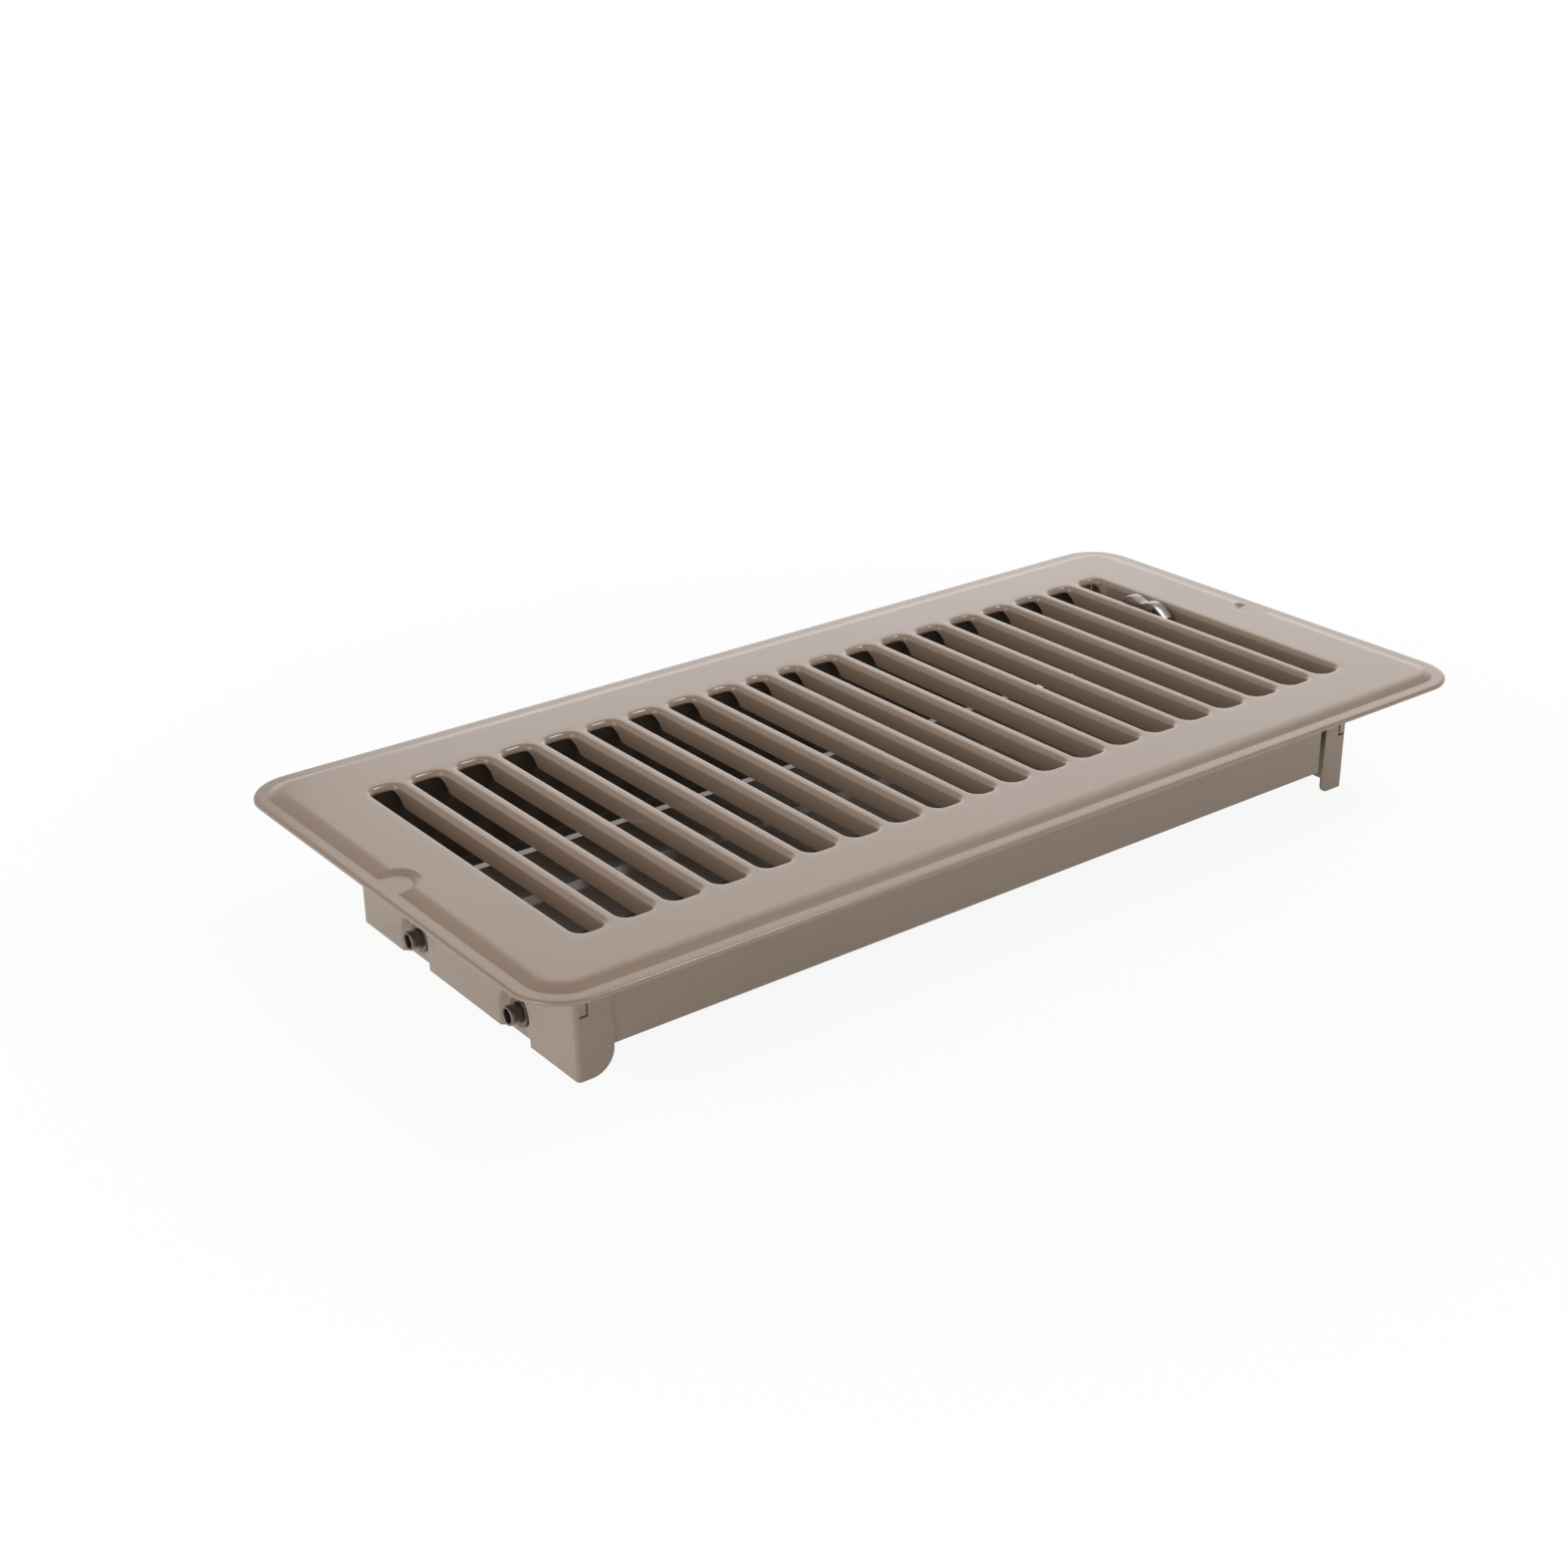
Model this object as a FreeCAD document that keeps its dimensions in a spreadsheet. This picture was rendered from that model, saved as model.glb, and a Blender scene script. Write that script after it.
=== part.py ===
import FreeCAD, Part
import math
import os

import Sketcher

# Floor register with its damper shut, standing on the two end panels of its box.
# X runs along the length, with the lever at the +X end; Y runs across; Z is up.
# The origin is at the middle of the register, at the level of the end panels' bottom edges.

SIZES = (
    # Face plate, seen from above
    ("plate_length", 290.0),
    ("plate_width", 140.0),
    ("plate_corner", 13.0),
    ("strip_width", 4.0),
    ("slope_width", 3.5),
    # Face plate, in section
    ("lip_bottom", 33.0),
    ("lip_height", 1.0),
    ("field_rise", 1.0),
    ("plate_sheet", 0.6),
    ("lip_round", 0.5),
    # Half-round notch at each short end
    ("notch_width", 8.0),
    ("notch_reach", 9.5),
    ("notch_slope", 1.5),
    ("notch_corner", 3.6),
    # Bars and slots
    ("side_bars", 9),
    ("bar_width", 4.0),
    ("bar_pitch", 12.65),
    ("centre_pitch", 10.8),
    ("end_slot_width", 7.5),
    ("slot_length", 93.0),
    ("slot_corner", 2.75),
    ("shoulder", 1.4),
    ("flange_depth", 3.2),
    ("flange_bend", 0.75),
    # Box
    ("box_length", 249.0),
    ("box_width", 97.0),
    ("box_sheet", 0.6),
    ("box_bend", 1.1),
    ("wall_bottom", 6.0),
    ("wall_left_end", 121.7),
    ("wall_right_end", 114.9),
    ("hem_height", 3.0),
    ("hem_round", 0.57),
    ("weld_flange", 5.5),
    ("weld_bend", 1.2),
    ("wall_flange_length", 226.0),
    ("panel_flange_length", 80.0),
    ("left_corner_flange", 8.6),
    ("left_corner_round", 6.0),
    ("right_corner_flange", 7.4),
    ("right_corner_round", 2.5),
    ("corner_flange_taper", 1.2),
    ("recess_width", 12.8),
    ("recess_top", 12.5),
    ("recess_depth", 1.7),
    ("recess_slope", 1.6),
    ("bend_shift", 0.25),
    ("relief_height", 15.6),
    ("relief_tab", 2.7),
    ("relief_gap", 0.6),
    # Damper
    ("pivot_spacing", 45.0),
    ("pivot_height", 5.7),
    ("blade_width", 44.4),
    ("blade_sheet", 0.6),
    ("blade_left_end", 120.2),
    ("blade_right_end", 114.6),
    ("blade_hem", 3.0),
    ("rib_height", 1.6),
    ("rib_width", 6.4),
    ("rib_crown", 2.4),
    ("ear_width", 16.0),
    ("ear_lobe_width", 8.4),
    ("ear_reach", 4.3),
    ("ear_notch", 3.4),
    # Pivots and washers
    ("pivot_diameter", 4.8),
    ("pivot_bore", 3.4),
    ("pivot_stand_out", 3.7),
    ("pivot_head_diameter", 6.8),
    ("pivot_head_thickness", 0.5),
    ("washer_diameter", 7.4),
    ("washer_thickness", 0.7),
    ("running_clearance", 0.06),
    ("rivet_clearance", 0.03),
    # Linkage
    ("crank_radius", 14.0),
    ("crank_angle", 45.0),
    ("crank_width", 7.0),
    ("link_gap", 0.3),
    ("link_sheet", 0.8),
    ("link_width", 7.0),
    ("crank_pin_diameter", 3.0),
    ("crank_pin_head", 5.2),
    ("pin_head_thickness", 0.7),
    ("pin_end_play", 0.1),
    # Lever, with places along Y and drops below its crests
    ("lever_sheet", 0.8),
    ("lever_width", 3.4),
    ("lever_rise", 1.2),
    ("lever_far_end", 31.0),
    ("lever_far_crest", 26.5),
    ("lever_dip", 22.0),
    ("lever_near_crest", 18.5),
    ("lever_near_end", 11.0),
    ("lever_crest_half", 1.2),
    ("lever_far_drop", 3.6),
    ("lever_dip_drop", 1.0),
    ("lever_near_drop", 4.2),
    ("lever_rivet_diameter", 2.0),
    ("lever_rivet_head", 3.4),
    ("lever_rivet_middle", 21.6),
    ("lever_rivet_spacing", 4.4),
    # A bar's end is rounded by this share of half its width
    ("end_round_share", 0.98),
)

document = FreeCAD.newDocument("floor_register")
sheet = document.addObject("Spreadsheet::Sheet", "Sizes")
for row, (alias, size) in enumerate(SIZES, start=1):
    sheet.set(f"A{row}", alias)
    sheet.set(f"B{row}", str(size))
    sheet.setAlias(f"B{row}", alias)
document.recompute()

# Places that several pieces share, as expressions of the sheet's sizes
STRIP_TOP = "(Sizes.lip_bottom + Sizes.lip_height)"
FIELD_TOP = f"({STRIP_TOP} + Sizes.field_rise)"
FIELD_UNDERSIDE = f"({FIELD_TOP} - Sizes.plate_sheet)"
FLANGE_BOTTOM = f"({FIELD_TOP} - Sizes.flange_depth)"
HALF_PLATE = "Sizes.plate_length / 2"
HALF_BOX = "Sizes.box_length / 2"
RECESS_FLOOR = f"({HALF_BOX} - Sizes.recess_depth)"
WALL_OUTSIDE = "(Sizes.box_width / 2 - Sizes.box_sheet)"
WALL_INSIDE = "(Sizes.box_width / 2 - 2 * Sizes.box_sheet)"
HALF_SPACING = "Sizes.pivot_spacing / 2"
LAST_BAR = "(Sizes.centre_pitch + (Sizes.side_bars - 1) * Sizes.bar_pitch)"
CRANK_OFFSET = "(Sizes.crank_radius * sin(Sizes.crank_angle * 1 deg))"
CRANK_RISE = "(Sizes.crank_radius * cos(Sizes.crank_angle * 1 deg))"
EAR_OUTSIDE = "Sizes.blade_right_end"
EAR_INSIDE = "(Sizes.blade_right_end - Sizes.blade_sheet)"
LEFT_EAR_INSIDE = "(Sizes.blade_left_end - Sizes.blade_sheet)"
LINK_INSIDE = "(Sizes.blade_right_end + Sizes.link_gap)"
LINK_OUTSIDE = f"({LINK_INSIDE} + Sizes.link_sheet)"
LINK_HEIGHT = f"(Sizes.pivot_height + {CRANK_RISE})"
LEVER_CREST = f"({FIELD_TOP} + Sizes.lever_rise)"


def value(expression):
    """The number that an expression of the sheet's sizes gives."""
    result = sheet.evalExpression(expression)
    return float(getattr(result, "Value", result))


def new_body(label):
    """An empty body with its own name."""
    body = document.addObject("PartDesign::Body", label)
    body.Label = label
    return body


def new_sketch(body, name, plane, offset="0"):
    """A sketch on one of the body's origin planes, moved along the plane's normal."""
    sketch = body.newObject("Sketcher::SketchObject", f"{body.Name}_{name}")
    support = [item for item in body.Origin.OriginFeatures if item.Role == plane][0]
    sketch.AttachmentSupport = [(support, "")]
    sketch.MapMode = "FlatFace"
    sketch.setExpression("AttachmentOffset.Base.z", offset)
    return sketch


def fix(sketch, kind, item, point, expression):
    """Holds a point of the sketch at a distance from the sketch's origin."""
    number = sketch.addConstraint(Sketcher.Constraint(kind, -1, 1, item, point, value(expression)))
    sketch.setExpression(f"Constraints[{number}]", expression)


def outline(sketch, points):
    """A closed outline of straight lines through points given as pairs of expressions."""
    first = sketch.GeometryCount
    count = len(points)
    places = [FreeCAD.Vector(value(across), value(up), 0) for across, up in points]
    ends = places[1:] + places[:1]
    sketch.addGeometry([Part.LineSegment(a, b) for a, b in zip(places, ends)], False)
    sketch.addConstraint([
        Sketcher.Constraint("Coincident", first + i, 2, first + (i + 1) % count, 1)
        for i in range(count)
    ])
    for i, (across, up) in enumerate(points):
        fix(sketch, "DistanceX", first + i, 1, across)
        fix(sketch, "DistanceY", first + i, 1, up)


def rectangle(sketch, left, right, low, high):
    """A rectangle between four expressions."""
    outline(sketch, [(left, low), (right, low), (right, high), (left, high)])


def rounded_rectangle(sketch, left, right, low, high, radius):
    """A rectangle with four equal round corners, tangent to its sides."""
    first = sketch.GeometryCount
    x0, x1, y0, y1, r = (value(item) for item in (left, right, low, high, radius))
    point = FreeCAD.Vector
    sides = (
        (point(x0 + r, y0, 0), point(x1 - r, y0, 0)),
        (point(x1, y0 + r, 0), point(x1, y1 - r, 0)),
        (point(x1 - r, y1, 0), point(x0 + r, y1, 0)),
        (point(x0, y1 - r, 0), point(x0, y0 + r, 0)),
    )
    centres = (
        point(x1 - r, y0 + r, 0),
        point(x1 - r, y1 - r, 0),
        point(x0 + r, y1 - r, 0),
        point(x0 + r, y0 + r, 0),
    )
    quarter = math.pi / 2
    sketch.addGeometry([Part.LineSegment(a, b) for a, b in sides], False)
    sketch.addGeometry([
        Part.ArcOfCircle(Part.Circle(centre, point(0, 0, 1), r), (i - 1) * quarter, i * quarter)
        for i, centre in enumerate(centres)
    ], False)
    rules = []
    for i in range(4):
        line, arc, following = first + i, first + 4 + i, first + (i + 1) % 4
        rules.append(Sketcher.Constraint("Tangent", line, 2, arc, 1))
        rules.append(Sketcher.Constraint("Tangent", arc, 2, following, 1))
        rules.append(Sketcher.Constraint("Vertical" if i % 2 else "Horizontal", line))
    for i in range(3):
        rules.append(Sketcher.Constraint("Equal", first + 4, first + 5 + i))
    sketch.addConstraint(rules)
    number = sketch.addConstraint(Sketcher.Constraint("Radius", first + 4, r))
    sketch.setExpression(f"Constraints[{number}]", radius)
    fix(sketch, "DistanceY", first, 1, low)
    fix(sketch, "DistanceX", first + 1, 1, right)
    fix(sketch, "DistanceY", first + 2, 1, high)
    fix(sketch, "DistanceX", first + 3, 1, left)


def circle(sketch, across, up, radius):
    """A circle whose centre and radius are expressions."""
    item = sketch.addGeometry(
        Part.Circle(FreeCAD.Vector(value(across), value(up), 0), FreeCAD.Vector(0, 0, 1), value(radius))
    )
    fix(sketch, "DistanceX", item, 3, across)
    fix(sketch, "DistanceY", item, 3, up)
    number = sketch.addConstraint(Sketcher.Constraint("Radius", item, value(radius)))
    sketch.setExpression(f"Constraints[{number}]", radius)


def arch(sketch, middle, half_width, top, bottom):
    """An upright arch: a half circle on two straight legs, closed below."""
    first = sketch.GeometryCount
    x, r, z = value(middle), value(half_width), value(f"{top} - ({half_width})")
    low = value(bottom)
    point = FreeCAD.Vector
    ring = Part.Circle(point(x, z, 0), point(0, 0, 1), r)
    sketch.addGeometry([
        Part.LineSegment(point(x - r, low, 0), point(x + r, low, 0)),
        Part.LineSegment(point(x + r, low, 0), point(x + r, z, 0)),
        Part.ArcOfCircle(ring, 0, math.pi),
        Part.LineSegment(point(x - r, z, 0), point(x - r, low, 0)),
    ], False)
    base, right, crown, left = range(first, first + 4)
    sketch.addConstraint([
        Sketcher.Constraint("Coincident", base, 2, right, 1),
        Sketcher.Constraint("Tangent", right, 2, crown, 1),
        Sketcher.Constraint("Tangent", crown, 2, left, 1),
        Sketcher.Constraint("Coincident", left, 2, base, 1),
        Sketcher.Constraint("Horizontal", base),
        Sketcher.Constraint("Vertical", right),
        Sketcher.Constraint("Vertical", left),
    ])
    number = sketch.addConstraint(Sketcher.Constraint("Radius", crown, r))
    sketch.setExpression(f"Constraints[{number}]", half_width)
    fix(sketch, "DistanceX", crown, 3, middle)
    fix(sketch, "DistanceY", crown, 3, f"{top} - ({half_width})")
    fix(sketch, "DistanceY", base, 1, bottom)


def pad(body, sketch, length, name, middle=False, kind="PartDesign::Pad"):
    """A pad, or a pocket, of a given length from the sketch, or half to each side of it."""
    feature = body.newObject(kind, f"{body.Name}_{name}")
    feature.Profile = sketch
    feature.setExpression("Length", length)
    if middle:
        feature.SideType = "Symmetric"
    document.recompute()
    return feature


def pocket(body, sketch, length, name, middle=False):
    """A pocket of a given length against the sketch's normal; it must take something away."""
    before = body.Shape.Volume
    feature = pad(body, sketch, length, name, middle, "PartDesign::Pocket")
    if body.Shape.Volume >= before:
        raise RuntimeError(f"{feature.Name} cuts nothing")
    return feature


def loft(body, low, high, name, kind="PartDesign::AdditiveLoft"):
    """A straight-sided loft from one sketch to another."""
    feature = body.newObject(kind, f"{body.Name}_{name}")
    feature.Profile = low
    feature.Sections = [high]
    feature.Ruled = True
    document.recompute()
    return feature


def edges_where(feature, chosen):
    """Names of the edges of a feature whose points all satisfy a test."""
    names = []
    for number, edge in enumerate(feature.Shape.Edges, start=1):
        low, high = edge.ParameterRange
        points = [edge.valueAt(low), edge.valueAt((low + high) / 2), edge.valueAt(high)]
        if all(chosen(place) for place in points):
            names.append(f"Edge{number}")
    return names


def round_edges(body, chosen, size, name, kind="PartDesign::Fillet"):
    """A fillet, or a chamfer, on the edges of the body that satisfy a test."""
    base = body.Tip
    feature = body.newObject(kind, f"{body.Name}_{name}")
    feature.Base = (base, edges_where(base, chosen))
    feature.setExpression("Radius" if kind.endswith("Fillet") else "Size", size)
    document.recompute()
    return feature


def near(number, expression):
    """Whether a coordinate is at the place that an expression gives."""
    return abs(number - value(expression)) < 0.01


def slot_groups():
    """Slots on the right of the middle bar: name, left and right edge of the first, and their number."""
    half_bar = "Sizes.bar_width / 2"
    first_bar = "Sizes.centre_pitch"
    return (
        ("centre", half_bar, f"{first_bar} - {half_bar}", "1"),
        ("side", f"{first_bar} + {half_bar}", f"{first_bar} + Sizes.bar_pitch - {half_bar}",
         "Sizes.side_bars - 1"),
        ("end", f"{LAST_BAR} + {half_bar}", f"{LAST_BAR} + {half_bar} + Sizes.end_slot_width", "1"),
    )


def repeat(body, feature, sketch, side, count):
    """Repeats a feature along X at the bars' pitch, away from the middle."""
    pattern = body.newObject("PartDesign::LinearPattern", f"{feature.Name}_row")
    pattern.Originals = [feature]
    pattern.Direction = (sketch, ["H_Axis"])
    pattern.Reversed = side < 0
    pattern.Mode = "Spacing"
    pattern.setExpression("Offset", "Sizes.bar_pitch")
    pattern.setExpression("Occurrences", count)
    body.Tip = pattern
    document.recompute()


def make_slots(body, word, height, grow, draw, cut):
    """Draws each kind of slot on both sides, and pads or cuts it there and along its row."""
    half_length = "Sizes.slot_length / 2"
    for side in (-1, 1):
        for group, left, right, count in slot_groups():
            ends = (f"{side} * ({left} - {grow})", f"{side} * ({right} + {grow})")
            name = f"{word}_{group}_{'right' if side > 0 else 'left'}"
            sketch = new_sketch(body, f"{name}_outline", "XY_Plane", height)
            draw(sketch, *ends[::side], f"-({half_length} + {grow})", f"{half_length} + {grow}")
            feature = cut(body, sketch, name)
            if count != "1":
                repeat(body, feature, sketch, side, count)


def plate_outline(body, name, height, inset):
    """The plate's outline at a height, drawn in by an inset."""
    sketch = new_sketch(body, name, "XY_Plane", height)
    half_length = f"{HALF_PLATE} - ({inset})"
    half_width = f"Sizes.plate_width / 2 - ({inset})"
    radius = f"Sizes.plate_corner - ({inset})"
    rounded_rectangle(
        sketch, f"-({half_length})", half_length, f"-({half_width})", half_width, radius
    )
    return sketch


def stamp_notch(body, side):
    """A half-round notch at one short end: the field is pressed down to the strip's level."""
    floor_end = f"{HALF_PLATE} - Sizes.notch_reach"
    slope_start = f"{HALF_PLATE} - Sizes.strip_width"
    field_start = f"{slope_start} - Sizes.slope_width"
    half = "Sizes.notch_width / 2"
    wide = f"{half} + Sizes.notch_slope"
    word = "right" if side > 0 else "left"

    def span(inner, outer):
        places = (f"{side} * ({inner})", f"{side} * ({outer})")
        return places if side > 0 else places[::-1]

    low = new_sketch(body, f"{word}_boss_low", "XY_Plane", f"{STRIP_TOP} - Sizes.plate_sheet")
    rectangle(low, *span(floor_end, slope_start), f"-({half})", half)
    high = new_sketch(body, f"{word}_boss_high", "XY_Plane", FIELD_UNDERSIDE)
    rectangle(high, *span(f"{floor_end} - Sizes.notch_slope", field_start), f"-({wide})", wide)
    loft(body, low, high, f"{word}_boss")
    past = f"{slope_start} + Sizes.notch_corner"
    low = new_sketch(body, f"{word}_notch_low", "XY_Plane", STRIP_TOP)
    rounded_rectangle(low, *span(floor_end, past), f"-({half})", half, "Sizes.notch_corner")
    high = new_sketch(body, f"{word}_notch_high", "XY_Plane", FIELD_TOP)
    rounded_rectangle(
        high, *span(f"{floor_end} - Sizes.notch_slope", past), f"-({wide})", wide,
        "Sizes.notch_corner + Sizes.notch_slope",
    )
    loft(body, low, high, f"{word}_notch", "PartDesign::SubtractiveLoft")


def make_face_plate():
    """One stamped sheet: rolled lip, sloped border, notches, and slots with turned-down flanges."""
    body = new_body("face_plate")
    lip = plate_outline(body, "lip_outline", "Sizes.lip_bottom", "0")
    pad(body, lip, "Sizes.lip_height", "lip")
    round_edges(
        body, lambda p: near(p.z, STRIP_TOP), "Sizes.lip_round", "lip_roll", "PartDesign::Chamfer"
    )
    border = "Sizes.strip_width"
    low = plate_outline(body, "slope_foot", STRIP_TOP, border)
    high = plate_outline(body, "slope_head", FIELD_TOP, f"{border} + Sizes.slope_width")
    loft(body, low, high, "field")
    inside = plate_outline(body, "lip_inside", f"{STRIP_TOP} - Sizes.plate_sheet", "Sizes.plate_sheet")
    pocket(body, inside, "Sizes.lip_height", "lip_hollow")
    low = plate_outline(body, "hollow_foot", f"{STRIP_TOP} - Sizes.plate_sheet", border)
    high = plate_outline(body, "hollow_head", FIELD_UNDERSIDE, f"{border} + Sizes.slope_width")
    loft(body, low, high, "field_hollow", "PartDesign::SubtractiveLoft")
    for side in (-1, 1):
        stamp_notch(body, side)

    make_slots(
        body, "flange", FLANGE_BOTTOM, "Sizes.plate_sheet", rectangle,
        lambda *at: pad(*at[:2], "Sizes.flange_depth - Sizes.plate_sheet / 2", at[2]),
    )
    window_x = value(f"{LAST_BAR} + Sizes.bar_width + Sizes.end_slot_width")
    window_y = value("Sizes.slot_length / 2 + Sizes.bar_width")

    def in_window(place, height):
        return near(place.z, height) and abs(place.x) < window_x and abs(place.y) < window_y

    round_edges(
        body, lambda p: in_window(p, FIELD_UNDERSIDE),
        "Sizes.flange_bend", "flange_bends", "PartDesign::Chamfer",
    )
    make_slots(
        body, "slot", f"{FIELD_TOP} + Sizes.plate_sheet", "0",
        lambda *at: rounded_rectangle(*at, "Sizes.slot_corner"),
        lambda *at: pocket(*at[:2], "Sizes.flange_depth + 2 * Sizes.plate_sheet", at[2]),
    )
    round_edges(
        body, lambda p: in_window(p, FIELD_TOP), "Sizes.shoulder", "shoulders", "PartDesign::Chamfer"
    )
    return body


def make_side_wall(label, side):
    """A long side of the box: one sheet with a hem below and a weld flange turned out above."""
    body = new_body(label)
    hem_inside = f"{WALL_INSIDE} - Sizes.box_sheet"
    hem_top = "Sizes.wall_bottom + Sizes.hem_height"
    bend_start = f"({FIELD_UNDERSIDE} - Sizes.weld_bend)"
    wall_top = f"({bend_start} - Sizes.bend_shift)"
    points = [
        (WALL_OUTSIDE, "Sizes.wall_bottom"),
        (WALL_OUTSIDE, wall_top),
        (WALL_INSIDE, wall_top),
        (WALL_INSIDE, hem_top),
        (hem_inside, hem_top),
        (hem_inside, "Sizes.wall_bottom"),
    ]
    wall = new_sketch(body, "section", "YZ_Plane", "-Sizes.wall_left_end")
    outline(wall, [(f"{side} * ({y})", z) for y, z in points])
    pad(body, wall, "Sizes.wall_left_end + Sizes.wall_right_end", "wall")
    round_edges(
        body,
        lambda p: (
            near(p.z, "Sizes.wall_bottom")
            and (near(abs(p.y), hem_inside) or near(abs(p.y), WALL_OUTSIDE))
        ),
        "Sizes.hem_round", "hem_fold",
    )
    flange_end = f"{WALL_OUTSIDE} + Sizes.weld_flange"
    flange_underside = f"{FIELD_UNDERSIDE} - Sizes.box_sheet"
    points = [
        (WALL_INSIDE, wall_top),
        (WALL_INSIDE, bend_start),
        (f"{WALL_INSIDE} + Sizes.weld_bend", FIELD_UNDERSIDE),
        (flange_end, FIELD_UNDERSIDE),
        (flange_end, flange_underside),
        (f"{WALL_INSIDE} + Sizes.weld_bend + Sizes.bend_shift", flange_underside),
        (WALL_OUTSIDE, wall_top),
    ]
    flange = new_sketch(body, "flange_section", "YZ_Plane")
    outline(flange, [(f"{side} * ({y})", z) for y, z in points])
    pad(body, flange, "Sizes.wall_flange_length", "weld_flange", middle=True)
    return body


def press_recess(body, word, middle):
    """An arch pressed inward round a pivot, open at the panel's bottom edge."""
    half = "Sizes.recess_width / 2"
    inner_half = f"{half} - Sizes.recess_slope"
    inner_top = "Sizes.recess_top - Sizes.recess_slope"
    shift = "Sizes.bend_shift"
    mouth = new_sketch(body, f"{word}_boss_mouth", "YZ_Plane", f"{HALF_BOX} - Sizes.box_sheet")
    arch(mouth, middle, f"{half} + {shift}", f"Sizes.recess_top + {shift}", "0")
    floor = new_sketch(body, f"{word}_boss_floor", "YZ_Plane", f"{RECESS_FLOOR} - Sizes.box_sheet")
    arch(floor, middle, f"{inner_half} + {shift}", f"{inner_top} + {shift}", "0")
    loft(body, mouth, floor, f"{word}_boss")
    mouth = new_sketch(body, f"{word}_recess_mouth", "YZ_Plane", HALF_BOX)
    arch(mouth, middle, half, "Sizes.recess_top", "-Sizes.box_sheet")
    floor = new_sketch(body, f"{word}_recess_floor", "YZ_Plane", RECESS_FLOOR)
    arch(floor, middle, inner_half, inner_top, "-Sizes.box_sheet")
    loft(body, mouth, floor, f"{word}_recess", "PartDesign::SubtractiveLoft")


def make_end_panel(label, side):
    """A short side of the box: pressed sheet whose corner flanges lie over the long sides."""
    body = new_body(label)
    end = "right" if side > 0 else "left"
    free_edge = f"({HALF_BOX} - Sizes.{end}_corner_flange)"
    foot_edge = f"({free_edge} - Sizes.corner_flange_taper)"
    half_width = "Sizes.box_width / 2"
    inner_width = f"({half_width} - Sizes.box_sheet)"
    inner_face = f"({HALF_BOX} - Sizes.box_sheet)"
    plan = new_sketch(body, "plan", "XY_Plane")
    outline(plan, [
        (foot_edge, half_width),
        (foot_edge, inner_width),
        (inner_face, inner_width),
        (inner_face, f"-{inner_width}"),
        (foot_edge, f"-{inner_width}"),
        (foot_edge, f"-{half_width}"),
        (HALF_BOX, f"-{half_width}"),
        (HALF_BOX, half_width),
    ])
    pad(body, plan, FIELD_UNDERSIDE, "sheet")
    round_edges(
        body,
        lambda p: near(p.x, HALF_BOX) and near(abs(p.y), half_width),
        "Sizes.box_bend", "corner_bends",
    )
    for word, sign in (("front", "-"), ("rear", "")):
        press_recess(body, word, f"{sign}{HALF_SPACING}")
    flange = new_sketch(body, "weld_flange_outline", "XY_Plane", f"{FIELD_UNDERSIDE} - Sizes.box_sheet")
    rectangle(
        flange, f"{HALF_BOX} - Sizes.box_sheet / 2", f"{HALF_BOX} + Sizes.weld_flange",
        "-Sizes.panel_flange_length / 2", "Sizes.panel_flange_length / 2",
    )
    pad(body, flange, "Sizes.box_sheet", "weld_flange")
    holes = new_sketch(body, "pivot_holes", "YZ_Plane", HALF_BOX)
    for sign in ("-", ""):
        circle(
            holes, f"{sign}{HALF_SPACING}", "Sizes.pivot_height",
            "Sizes.pivot_diameter / 2 + Sizes.running_clearance",
        )
    pocket(body, holes, "Sizes.recess_depth + 2 * Sizes.box_sheet", "holes")
    slit = f"{HALF_BOX} - Sizes.relief_tab"
    gap = "Sizes.relief_gap"
    top = f"{FIELD_UNDERSIDE} - Sizes.box_sheet"
    foot = "Sizes.relief_height"
    faces = (
        ("front", f"{half_width} + Sizes.box_sheet"),
        ("rear", f"2 * Sizes.box_sheet - {half_width}"),
    )
    for word, place in faces:
        relief = new_sketch(body, f"{word}_relief", "XZ_Plane", place)
        outline(relief, [
            (f"{slit} - {gap}", foot),
            (f"{HALF_BOX} - Sizes.box_bend", foot),
            (f"{HALF_BOX} - Sizes.box_bend", f"{foot} + {gap}"),
            (slit, f"{foot} + {gap}"),
            (slit, top),
            (f"{slit} - {gap}", top),
        ])
        outline(relief, [
            (foot_edge, "0"),
            (free_edge, FIELD_UNDERSIDE),
            (f"{foot_edge} - {gap}", FIELD_UNDERSIDE),
            (f"{foot_edge} - {gap}", "0"),
        ])
        pocket(body, relief, "3 * Sizes.box_sheet", f"{word}_relief_and_taper")
    round_edges(
        body,
        lambda p: near(p.x, foot_edge) and near(p.z, "0"),
        f"Sizes.{end}_corner_round", "free_corners",
    )
    if side < 0:
        body.Placement = FreeCAD.Placement(
            FreeCAD.Vector(), FreeCAD.Rotation(FreeCAD.Vector(0, 0, 1), 180)
        )
    return body


def ear_outline(sketch):
    """The plate turned up at a blade's end, with a lobe below, round the pivot."""
    half_sheet = "Sizes.blade_sheet / 2"
    lobe = "Sizes.ear_lobe_width / 2"
    base = "Sizes.ear_width / 2"
    outline(sketch, [
        (f"-{base}", f"-{half_sheet}"),
        (f"-{lobe}", f"-{half_sheet}"),
        (f"-{lobe}", "-Sizes.ear_reach"),
        (lobe, "-Sizes.ear_reach"),
        (lobe, f"-{half_sheet}"),
        (base, f"-{half_sheet}"),
        (base, half_sheet),
        (lobe, "Sizes.ear_reach"),
        (f"-{lobe}", "Sizes.ear_reach"),
        (f"-{base}", half_sheet),
    ])


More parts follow.
